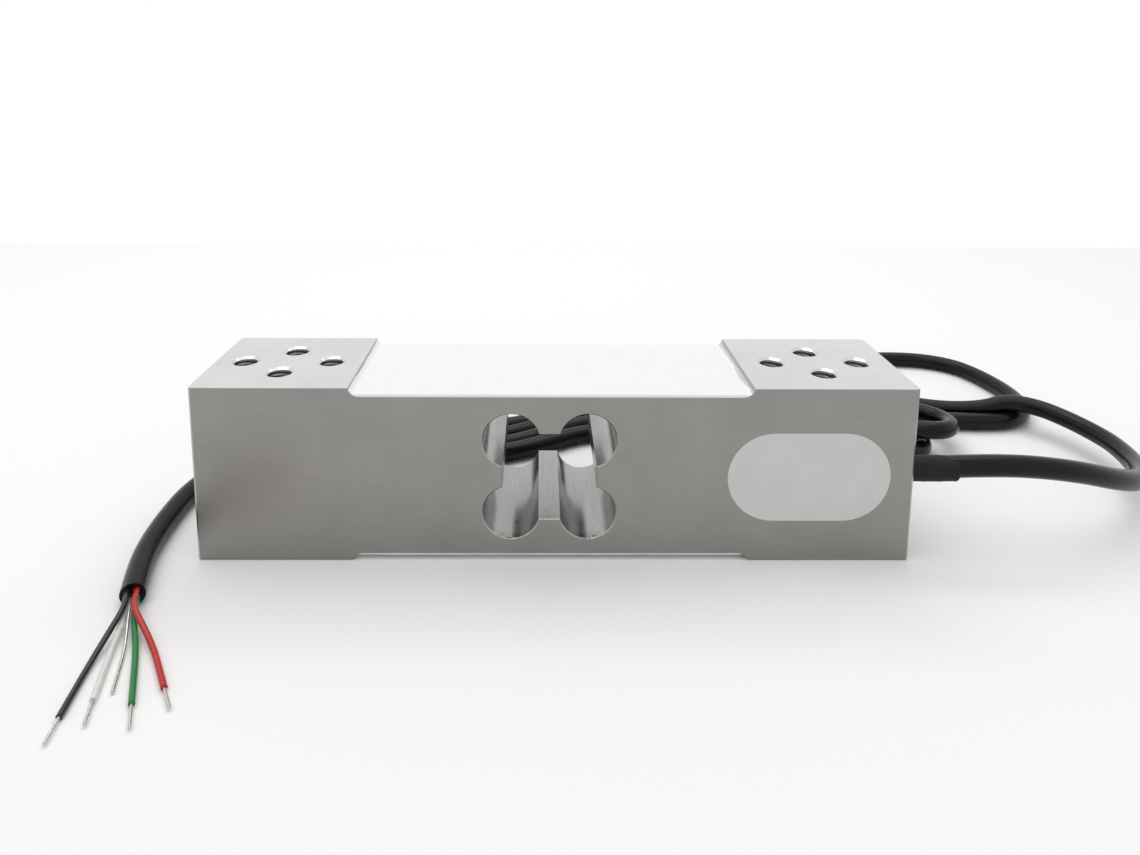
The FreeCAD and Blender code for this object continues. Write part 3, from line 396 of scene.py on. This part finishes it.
def aluminium():
    """Milled aluminium with painted light, lighter on top and in the cuts and painted shade on the
    sides: cutter lines along X on the sides, along Y elsewhere.
    """
    material = new_material("machined_aluminium_finish", WALL_LIGHT[:3], 0.36, metallic=METALLIC)
    nodes, links = material.node_tree.nodes, material.node_tree.links
    shader = shader_of(material)
    geometry = nodes.new("ShaderNodeNewGeometry")
    parts = nodes.new("ShaderNodeSeparateXYZ")
    links.new(geometry.outputs["True Normal"], parts.inputs[0])
    place_parts = nodes.new("ShaderNodeSeparateXYZ")
    links.new(geometry.outputs["Position"], place_parts.inputs[0])

    def facing(axis, low, high):
        """From 0 to 1 as the surface turns to face along an axis, either way."""
        size = nodes.new("ShaderNodeMath")
        size.operation = "ABSOLUTE"
        links.new(parts.outputs[axis], size.inputs[0])
        mask = nodes.new("ShaderNodeMapRange")
        mask.inputs["From Min"].default_value = low
        mask.inputs["From Max"].default_value = high
        links.new(size.outputs[0], mask.inputs["Value"])
        return mask.outputs["Result"]

    def between(axis, low, high):
        """From 0 at one coordinate to 1 at the other."""
        ramp = nodes.new("ShaderNodeMapRange")
        ramp.inputs["From Min"].default_value = low
        ramp.inputs["From Max"].default_value = high
        links.new(place_parts.outputs[axis], ramp.inputs["Value"])
        return ramp.outputs["Result"]

    def times(first, second):
        """The product of two masks."""
        product = nodes.new("ShaderNodeMath")
        product.operation = "MULTIPLY"
        links.new(first, product.inputs[0])
        links.new(second, product.inputs[1])
        return product.outputs[0]

    def blend(kind, factor, first, second):
        """From the first value or socket to the second."""
        mix = nodes.new("ShaderNodeMix")
        mix.data_type = kind
        links.new(factor, mix.inputs["Factor"])
        for label, value in (("A", first), ("B", second)):
            if isinstance(value, bpy.types.NodeSocket):
                links.new(value, mix.inputs[label])
            else:
                mix.inputs[label].default_value = value
        return mix.outputs["Result"]

    # Faces along Y: the sides, with the painted shade of their tones, their own cutter lines and
    # their gloss.
    on_side = facing("Y", 0.7, 0.9)
    # The top faces, with the countersinks' cones and chamfers near the top, which take the painted
    # highlight of the top tones.
    level = times(facing("Z", 0.45, 0.65), between("Z", 34.0 * MM, 35.5 * MM))
    side_lines = add_grain(material, 1.0, 0.0, 1.0, (90.0, 2600.0, 4200.0))
    cross_lines = add_grain(material, 1.0, 0.0, 1.0, (3600.0, 110.0, 3600.0))
    lines = blend("FLOAT", on_side, cross_lines, side_lines)
    cloud = add_grain(material, 60.0)
    # Painted light: the tone's dark and light ends are picked by facing, from the wall, side and top
    # pairs.
    dark = blend("RGBA", level, blend("RGBA", on_side, WALL_DARK, SIDE_DARK), TOP_DARK)
    light = blend("RGBA", level, blend("RGBA", on_side, WALL_LIGHT, SIDE_LIGHT), TOP_LIGHT)
    # Dark speckled patches at the bottoms of the lower bores, near the front face.
    lower_bore_patches = times(facing("Z", 0.6, 0.8), add_grain(material, LOWER_BORE_PATCH_GRAIN, -0.9, 1.6))
    for fade in LOWER_BORE_PATCH_FADES:
        lower_bore_patches = times(lower_bore_patches, between(*fade))
    toned = blend("RGBA", lower_bore_patches, blend("RGBA", lines, dark, light), LOWER_BORE_PATCH_TONE)
    smudge = blend("RGBA", cloud, (0.9, 0.9, 0.91, 1.0), (1.0, 1.0, 1.0, 1.0))
    product = nodes.new("ShaderNodeVectorMath")
    product.operation = "MULTIPLY"
    links.new(toned, product.inputs[0])
    links.new(smudge, product.inputs[1])
    links.new(product.outputs[0], shader.inputs["Base Color"])
    gloss = blend("FLOAT", on_side, add_grain(material, 900.0, 0.18, 0.28),
                  add_grain(material, 900.0, 0.32, 0.44))
    links.new(gloss, shader.inputs["Roughness"])
    add_bump(material, lines, 0.000004)
    return material


def finish_of(slot):
    """The material of one slot, made once."""
    name = slot + "_finish"
    if name in bpy.data.materials:
        return bpy.data.materials[name]
    if slot == "machined_aluminium":
        return aluminium()
    look = dict(FINISHES[slot])
    look["colour"] = tuple(getattr(settings(), slot + "_colour", look["colour"]))
    return grained_material(name, **look)


def paint(piece, slot):
    """Give a piece its slot's material."""
    piece.data.materials.clear()
    piece.data.materials.append(finish_of(slot))


def place(piece, slot, *nodes):
    """Attach a finished piece to the part, in place of the CAD nodes that it stands for."""
    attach(piece, "root")
    if nodes:
        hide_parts(*nodes)
    paint(piece, slot)
    return piece


# ---------------------------------------------------------------- mesh helpers


def mesh_piece(name, mesh, smooth_angle=35.0):
    """A scene object from a bmesh, smooth but for its sharper edges."""
    bmesh.ops.remove_doubles(mesh, verts=mesh.verts, dist=1e-7)
    bmesh.ops.recalc_face_normals(mesh, faces=mesh.faces)
    limit = math.radians(smooth_angle)
    for face in mesh.faces:
        face.smooth = True
    for edge in mesh.edges:
        edge.smooth = len(edge.link_faces) == 2 and edge.calc_face_angle(0.0) < limit
    data = bpy.data.meshes.new(name)
    mesh.to_mesh(data)
    mesh.free()
    piece = bpy.data.objects.new(name, data)
    bpy.context.scene.collection.objects.link(piece)
    return piece


def add_grid(mesh, rows, closed_rows=False, closed_columns=False):
    """Faces over rows of points; gives the rows of vertices."""
    vertices = [[mesh.verts.new(point) for point in row] for row in rows]
    row_pairs = list(zip(vertices, vertices[1:]))
    if closed_rows:
        row_pairs.append((vertices[-1], vertices[0]))
    for first, second in row_pairs:
        count = len(first)
        for index in range(count if closed_columns else count - 1):
            after = (index + 1) % count
            mesh.faces.new((first[index], first[after], second[after], second[index]))
    return vertices


def ring_about_x(x, centre_y, centre_z, radius, count=64):
    """Points on a circle that faces along X."""
    return [(x, centre_y + radius * math.cos(turn), centre_z + radius * math.sin(turn))
            for turn in (2 * math.pi * step / count for step in range(count))]


def wave(x, seed):
    """A slow, irregular swing between about -1 and 1."""
    slow = math.sin(x * 2.1 + seed)
    middling = 0.6 * math.sin(x * 4.7 + 2.3 * seed)
    quick = 0.3 * math.sin(x * 9.9 + seed)
    return (slow + middling + quick) / 1.9


# ---------------------------------------------------------------- operators


class LOADCELL_OT_stage(bpy.types.Operator):
    """Set up the camera, the pale floor, the soft lamps and the surrounding studio"""

    bl_idname = "load_cell.stage"
    bl_label = "Camera and studio"
    bl_options = {"REGISTER", "UNDO"}

    def execute(self, context):
        scene = context.scene
        scene.view_settings.view_transform = "Standard"
        self.add_camera(scene)
        self.add_floor()
        self.add_lamps(scene)
        self.add_world(scene)
        return {"FINISHED"}

    def add_camera(self, scene):
        """The camera looks along +Y and down at the beam's front, from just left of its middle."""
        ahead = Vector((math.sin(YAW) * math.cos(PITCH), math.cos(YAW) * math.cos(PITCH),
                        -math.sin(PITCH)))
        level_right = Vector((math.cos(YAW), -math.sin(YAW), 0.0))
        level_up = level_right.cross(ahead)
        right = level_right * math.cos(ROLL) + level_up * math.sin(ROLL)
        up = level_up * math.cos(ROLL) - level_right * math.sin(ROLL)
        data = bpy.data.cameras.new("Camera")
        data.lens = LENS
        data.sensor_width = SENSOR_WIDTH
        data.shift_x, data.shift_y = CAMERA_SHIFT
        data.clip_start = 0.01
        camera = bpy.data.objects.new("Camera", data)
        axes = Matrix((right, up, -ahead)).transposed().to_4x4()
        camera.matrix_world = Matrix.Translation(CAMERA_PLACE) @ axes
        scene.collection.objects.link(camera)
        scene.camera = camera

    def add_floor(self):
        """A square of plain floor just below the part."""
        mesh = bmesh.new()
        bmesh.ops.create_grid(mesh, x_segments=1, y_segments=1, size=FLOOR_HALF_SIDE)
        floor = mesh_piece("Floor", mesh)
        floor.location = FLOOR_PLACE
        colour = tuple(settings().floor_colour)
        floor.data.materials.append(new_material("floor_paint", colour, 0.95, specular=0.2))

    def add_lamps(self, scene):
        """Soft rectangular lamps, each aimed at a point by the part."""
        for name, power, size, place_at, aim in LAMPS:
            data = bpy.data.lights.new(name, "AREA")
            data.shape = "RECTANGLE"
            data.size, data.size_y = size
            data.energy = power * settings().lamp_power
            lamp = bpy.data.objects.new(name, data)
            lamp.location = place_at
            towards = Vector(aim) - Vector(place_at)
            lamp.rotation_euler = towards.to_track_quat("-Z", "Y").to_euler()
            scene.collection.objects.link(lamp)

    def add_world(self, scene):
        """White where it is seen directly, mirrored or through glass; dimmer as a light."""
        world = bpy.data.worlds.new("Studio")
        world.use_nodes = True
        nodes, links = world.node_tree.nodes, world.node_tree.links
        background = next(node for node in nodes if node.type == "BACKGROUND")
        background.inputs["Color"].default_value = (1.0, 1.0, 1.0, 1.0)
        path = nodes.new("ShaderNodeLightPath")
        seen = path.outputs["Is Camera Ray"]
        for label in ("Is Glossy Ray", "Is Transmission Ray"):
            either = nodes.new("ShaderNodeMath")
            either.operation = "MAXIMUM"
            links.new(seen, either.inputs[0])
            links.new(path.outputs[label], either.inputs[1])
            seen = either.outputs[0]
        strength = nodes.new("ShaderNodeMapRange")
        strength.inputs["To Min"].default_value = settings().fill_strength
        strength.inputs["To Max"].default_value = 1.0
        links.new(seen, strength.inputs["Value"])
        links.new(strength.outputs["Result"], background.inputs["Strength"])
        scene.world = world


class LOADCELL_OT_cable(bpy.types.Operator):
    """Lay the free cable as one curve from the sleeve, through the tied hank, to its stripped end"""

    bl_idname = "load_cell.cable"
    bl_label = "Cable"
    bl_options = {"REGISTER", "UNDO"}

    def execute(self, context):
        diameter = settings().cable_diameter
        points = (LEAD_ROUTE + BACK_LOOP + FIRST_TURN + SECOND_TURN + THIRD_TURN + FOURTH_TURN
                  + LAST_PASS + TAIL_ROUTE)
        data = bpy.data.curves.new("cable", "CURVE")
        data.dimensions = "3D"
        spline = data.splines.new("NURBS")
        spline.points.add(len(points) - 1)
        for point, (x, y, z) in zip(spline.points, points):
            point.co = (x, y, z, 1.0)
            point.radius = diameter / 2
        spline.order_u = 3
        spline.use_endpoint_u = True
        spline.resolution_u = 8
        data.bevel_depth = 1.0  # the points' radii carry the size, which keeps the bounds true
        data.bevel_resolution = 7
        data.use_fill_caps = True
        cable = bpy.data.objects.new("cable", data)
        context.scene.collection.objects.link(cable)
        place(cable, "cable_jacket", "cable_lead", "cable_hank", "cable_tail")
        return {"FINISHED"}


class LOADCELL_OT_sleeve(bpy.types.Operator):
    """Shrink sleeve over the cable at the block: slight waists and a rounded lip"""

    bl_idname = "load_cell.sleeve"
    bl_label = "Shrink sleeve"
    bl_options = {"REGISTER", "UNDO"}

    def execute(self, context):
        low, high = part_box("exit_sleeve")
        middle_y, middle_z = (low[1] + high[1]) / 2, (low[2] + high[2]) / 2
        outer = (high[1] - low[1]) / 2
        inner = settings().cable_diameter / 2
        length = high[0] - low[0]
        profile = [(low[0], inner), (low[0], outer)]
        steps = 40
        for step in range(1, steps):
            along = step / steps
            waist = 0.05 * MM * wave(along * 5.0, 1.0) - SLEEVE_WAIST
            profile.append((low[0] + along * (length - SLEEVE_LIP), outer + waist))
        for step in range(7):
            turn = math.pi / 2 * step / 6
            profile.append((high[0] - SLEEVE_LIP * (1 - math.sin(turn)),
                            outer - SLEEVE_WAIST - SLEEVE_LIP * (1 - math.cos(turn))))
        profile.append((high[0] - 0.1 * MM, inner))
        mesh = bmesh.new()
        rings = [ring_about_x(x, middle_y, middle_z, radius) for x, radius in profile]
        add_grid(mesh, rings, closed_rows=True, closed_columns=True)
        place(mesh_piece("shrink_sleeve", mesh), "shrink_sleeve", "exit_sleeve")
        return {"FINISHED"}


class LOADCELL_OT_tie(bpy.types.Operator):
    """Nylon tie round the bundle: toothed strap, locking head and cut tail"""

    bl_idname = "load_cell.tie"
    bl_label = "Cable tie"
    bl_options = {"REGISTER", "UNDO"}

    def execute(self, context):
        low, high = (Vector(corner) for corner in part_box("cable_tie"))
        mesh = bmesh.new()
        self.add_strap(mesh, low, high)
        self.add_head(mesh, low, high)
        place(mesh_piece("tie", mesh), "tie_nylon", "cable_tie")
        return {"FINISHED"}

    def add_strap(self, mesh, low, high):
        """A band on a rounded rectangle, with fine teeth over its outer face."""
        corner, thick, top = STRAP_CORNER, STRAP_THICK, low.z + STRAP_HEIGHT
        centres = [(high.y - corner, low.z + corner, -90), (high.y - corner, top - corner, 0),
                   (low.y + corner, top - corner, 90), (low.y + corner, low.z + corner, 180)]
        path = []
        for index, (y, z, start) in enumerate(centres):
            for step in range(10):
                turn = math.radians(start + 90 * step / 9)
                out = Vector((0, math.cos(turn), math.sin(turn)))
                path.append((Vector((0, y + corner * out.y, z + corner * out.z)), out))
            next_y, next_z, next_start = centres[(index + 1) % 4]
            turn = math.radians(next_start)
            out = Vector((0, math.cos(turn), math.sin(turn)))
            begin = path[-1][0]
            finish = Vector((0, next_y, next_z)) + out * corner
            count = max(2, int((finish - begin).length / TOOTH_STEP))
            path.extend((begin.lerp(finish, step / count), out) for step in range(1, count))
        edge = STRAP_EDGE
        rows = []
        for index, (point, out) in enumerate(path):
            tooth = TOOTH_DEPTH if index % 2 else 0.0
            section = [(low.x + edge, 0.0), (low.x, edge), (low.x, thick - edge),
                       (low.x + edge, thick), (low.x + 4 * edge, thick),
                       (low.x + 4 * edge, thick - tooth), (high.x - 4 * edge, thick - tooth),
                       (high.x - 4 * edge, thick), (high.x - edge, thick),
                       (high.x, thick - edge), (high.x, edge), (high.x - edge, 0.0)]
            rows.append([Vector((x, 0, 0)) + point - out * (thick - depth) for x, depth in section])
        add_grid(mesh, rows, closed_rows=True, closed_columns=True)

    def add_head(self, mesh, low, high):
        """The locking head and the short cut tail beside its slot."""
        front = high.y - HEAD_FROM_BACK
        self.add_block(mesh, (low.x, front, high.z - HEAD_HEIGHT),
                       (high.x, front + HEAD_LENGTH, high.z), 0.5 * MM)
        self.add_block(mesh, (low.x + 0.6 * MM, front + 2.0 * MM, high.z - 0.6 * MM),
                       (high.x - 0.6 * MM, front + 3.1 * MM, high.z), 0.15 * MM)

    def add_block(self, mesh, low, high, round_by):
        """A box between two corners, with rounded edges."""
        made = bmesh.ops.create_cube(mesh, size=1.0)["verts"]
        for vertex in made:
            vertex.co = [low[axis] + (high[axis] - low[axis]) * (vertex.co[axis] + 0.5)
                         for axis in range(3)]
        edges = {edge for vertex in made for edge in vertex.link_edges}
        bmesh.ops.bevel(mesh, geom=list(edges), offset=round_by, segments=3, affect="EDGES",
                        profile=0.5)


class LOADCELL_OT_silicone(bpy.types.Operator):
    """Silicone over the gauges: top and underside, with rounded long edges and wandering ends"""

    bl_idname = "load_cell.silicone"
    bl_label = "Silicone coats"
    bl_options = {"REGISTER", "UNDO"}

    def execute(self, context):
        self.add_coat("top_coat", "top_silicone", 1, 0.4)
        self.add_coat("bottom_coat", "bottom_silicone", -1, 2.9)
        return {"FINISHED"}

    def add_coat(self, name, node, way, seed):
        """way is 1 for a coat that faces up and -1 for one that faces down."""
        low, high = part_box(node)
        beam_low, beam_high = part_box("spring_element")
        floor_z, pad_z = (low[2], beam_high[2]) if way > 0 else (high[2], beam_low[2])
        radius = RECESS_FILLET
        depth = abs(pad_z - floor_z)
        reach = math.sqrt(radius ** 2 - (radius - depth) ** 2)
        left_foot, right_foot = RECESS_LEFT + reach, RECESS_RIGHT - reach
        thick = settings().coat_thickness
        swing = settings().coat_waviness

        def ground(x):
            """Height of the recess over its flat floor, up the fillet at each end."""
            past = max(left_foot - x, x - right_foot, 0.0)
            return radius - math.sqrt(max(radius ** 2 - past ** 2, 0.0))

        def rise_of(x, y, inset):
            """Height over the recess floor; inset runs from 0 at a long edge to 1 inside it."""
            drop = SHOULDER * (1 - math.sqrt(1 - (1 - min(inset, 1.0)) ** 2))
            sag = 0.025 * MM * wave(x * 90 + y * 60, seed) + 0.02 * MM * wave(y * 300, seed)
            return max(thick + sag - drop, ground(x) + FILM * min(1.0, inset + 0.3))

        half = high[1]
        rim = [(-half + step, inset) for step, inset in EDGE_STEPS]
        level_width = 2 * (half - SHOULDER)
        ys = rim + [(-half + SHOULDER + level_width * step / 24, 1.0) for step in range(1, 24)]
        ys += [(-y, inset) for y, inset in reversed(rim)]
        columns = 180
        mesh = bmesh.new()
        top_rows, bottom_rows = [], []
        for y, inset in ys:
            left = LEFT_COVER + 0.35 * swing * wave(y * 110, seed + 1)
            bulge = 0.45 * MM * math.exp(-((y + 12.4 * MM) / (2.2 * MM)) ** 2)
            right = RIGHT_COVER + swing * wave(y * 130, seed) + bulge
            top_row, bottom_row = [], []
            for step in range(columns + 1):
                along = step / columns
                x = left + (right - left) * along
                end = min(step, columns - step)
                taper = min(1.0, (end + 1) / 4)
                base = ground(x)
                height = base + (rise_of(x, y, inset) - base) * math.sqrt(taper)
                top_row.append((x, y, floor_z + way * height))
                bottom_row.append((x, y, floor_z + way * base))
            top_rows.append(top_row)
            bottom_rows.append(bottom_row)
        top = add_grid(mesh, top_rows)
        bottom = add_grid(mesh, bottom_rows)
        for first, second in ((top[0], bottom[0]), (bottom[-1], top[-1]),
                              ([row[0] for row in bottom], [row[0] for row in top]),
                              ([row[-1] for row in top], [row[-1] for row in bottom])):
            for index in range(len(first) - 1):
                mesh.faces.new((first[index], first[index + 1], second[index + 1], second[index]))
        place(mesh_piece(name, mesh, 60.0), "white_silicone", node)


class LOADCELL_OT_threads(bpy.types.Operator):
    """Line the mounting holes with their M6 threads, below both mouths"""

    bl_idname = "load_cell.threads"
    bl_label = "Threads"
    bl_options = {"REGISTER", "UNDO"}

    def execute(self, context):
        beam_low, beam_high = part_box("spring_element")
        mouths = ((beam_high[2] - THREAD_START, -1), (beam_low[2] + THREAD_START, 1))
        for side in ("left", "right"):
            along, across = (MOUNTS[side + "_top_holes_" + way] for way in ("along", "across"))
            centre_x, centre_y = along["pos_m"][:2]
            half_x = along["dims"]["spacing_x_mm"] * MM / 2
            half_y = across["dims"]["spacing_y_mm"] * MM / 2
            mesh = bmesh.new()
            for step_x, step_y in ((-1, 0), (1, 0), (0, -1), (0, 1)):
                for mouth, way in mouths:
                    self.add_thread(mesh, centre_x + step_x * half_x, centre_y + step_y * half_y,
                                    mouth, way)
            place(mesh_piece(side + "_threads", mesh, 70.0), "machined_aluminium")
        return {"FINISHED"}

    def add_thread(self, mesh, x, y, mouth, way):
        """A helical wall just inside the core hole, from its mouth into the beam."""
        pitch, turns = settings().thread_pitch, settings().thread_turns
        around, per_turn = 32, 6
        rows = []
        for step in range(turns * per_turn + 1):
            depth = step * pitch / per_turn
            fade = min(1.0, depth / (0.8 * pitch), (turns * pitch - depth) / pitch)
            row = []
            for slice_number in range(around):
                turn = slice_number / around
                phase = (depth / pitch - turn) % 1.0
                height = 1 - abs(2 * phase - 1)
                radius = THREAD_WALL - (THREAD_WALL - THREAD_CREST) * height * fade
                angle = way * 2 * math.pi * turn
                row.append((x + radius * math.cos(angle), y + radius * math.sin(angle),
                            mouth + way * depth))
            rows.append(row)
        add_grid(mesh, rows, closed_columns=True)


class LOADCELL_OT_finishes(bpy.types.Operator):
    """Paint every CAD piece with its slot's finish"""

    bl_idname = "load_cell.finishes"
    bl_label = "Finishes"
    bl_options = {"REGISTER", "UNDO"}

    def execute(self, context):
        for node, slot in NODE_SLOTS.items():
            for material_slot in frame["nodes"][node].material_slots:
                material_slot.material = finish_of(slot)
        return {"FINISHED"}


class LOADCELL_OT_declare_cord(bpy.types.Operator):
    """Gather the sleeve, the tie and the stripped end's pieces, which go with the cable, without
    recording them or the cable's real length and thickness
    """

    bl_idname = "load_cell.declare_cord"
    bl_label = "Cable facts"
    bl_options = {"REGISTER", "UNDO"}

    def execute(self, context):
        pieces = [bpy.data.objects["shrink_sleeve"], bpy.data.objects["tie"]]
        pieces += [frame["nodes"][node] for node in CORE_NODES]
        return {"FINISHED"}


class LOADCELL_PT_panel(bpy.types.Panel):
    """The operators in build order."""

    bl_idname = "LOADCELL_PT_panel"
    bl_label = "Load cell"
    bl_space_type = "VIEW_3D"
    bl_region_type = "UI"
    bl_category = "Load cell"

    def draw(self, context):
        for step in STEPS:
            self.layout.operator(step.bl_idname)
        for label in LoadCellSettings.__annotations__:
            self.layout.prop(context.scene.load_cell, label)


STEPS = (LOADCELL_OT_stage, LOADCELL_OT_cable, LOADCELL_OT_sleeve, LOADCELL_OT_tie,
         LOADCELL_OT_silicone, LOADCELL_OT_threads, LOADCELL_OT_finishes, LOADCELL_OT_declare_cord)
CLASSES = (LoadCellSettings, *STEPS, LOADCELL_PT_panel)


def register():
    """Make the operators, the panel and the settings known to Blender."""
    for item in CLASSES:
        bpy.utils.register_class(item)
    bpy.types.Scene.load_cell = bpy.props.PointerProperty(type=LoadCellSettings)


def unregister():
    """Take them away again."""
    del bpy.types.Scene.load_cell
    for item in reversed(CLASSES):
        bpy.utils.unregister_class(item)


def main():
    """Build every piece."""
    register()
    for step in STEPS:
        group, name = step.bl_idname.split(".")
        getattr(getattr(bpy.ops, group), name)()
    bpy.context.view_layer.update()


if __name__ == "__main__":
    main()
